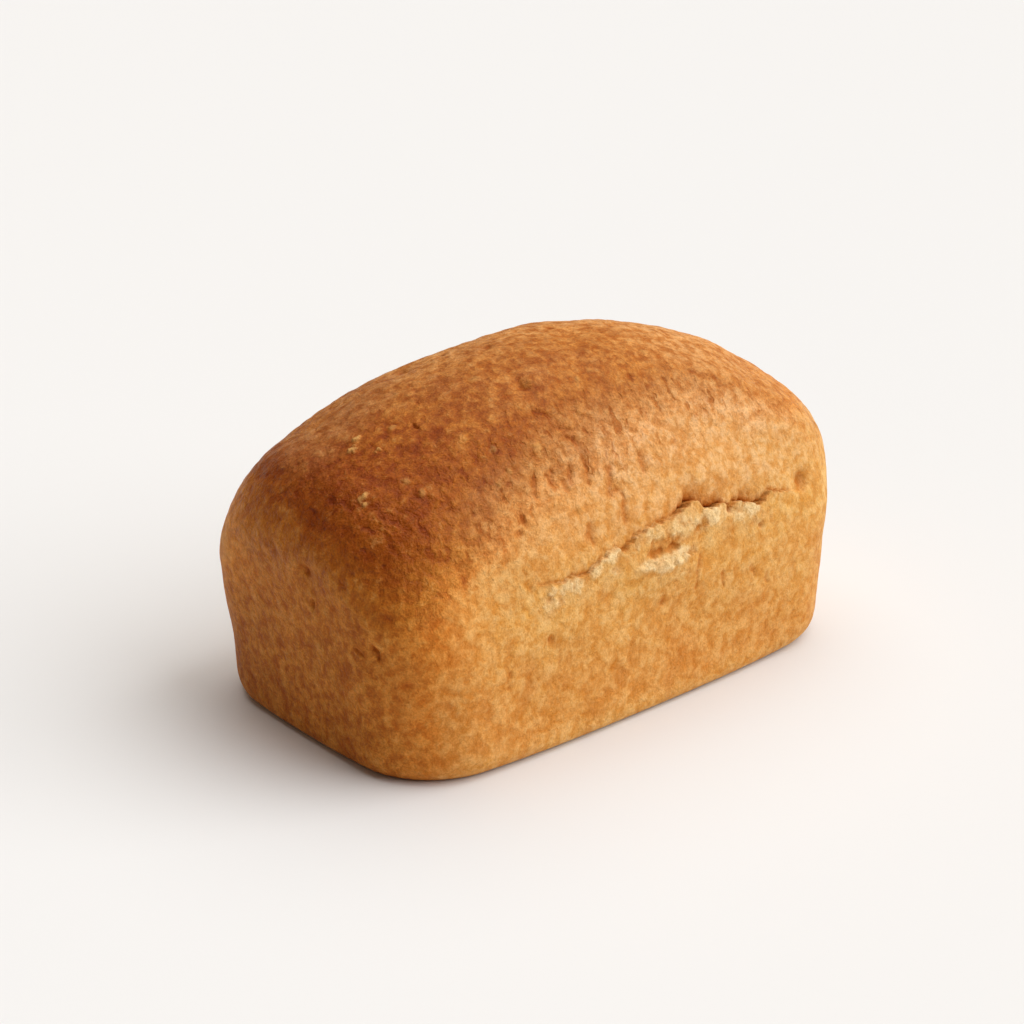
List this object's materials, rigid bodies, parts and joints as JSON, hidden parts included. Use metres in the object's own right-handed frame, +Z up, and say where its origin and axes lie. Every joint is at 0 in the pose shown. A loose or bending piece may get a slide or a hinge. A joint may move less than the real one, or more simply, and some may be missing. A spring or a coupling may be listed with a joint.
{
  "type": "tin loaf",
  "caption": "Small whole tin loaf of bread with a domed brown crown, golden walls and a torn side that bares the crumb; rests on its flat base.",
  "frame": {"origin": "middle of the flat base", "axes": "+X along the length, +Y across the width away from the torn side, +Z up from the base to the crown"},
  "size_m": [0.1598, 0.0918, 0.0881],
  "materials": {
    "crust": "matte baked crust, browner and slightly satin on the crown"
  },
  "bodies": {
    "root": {"loaf": "crust"}
  },
  "joints": []
}
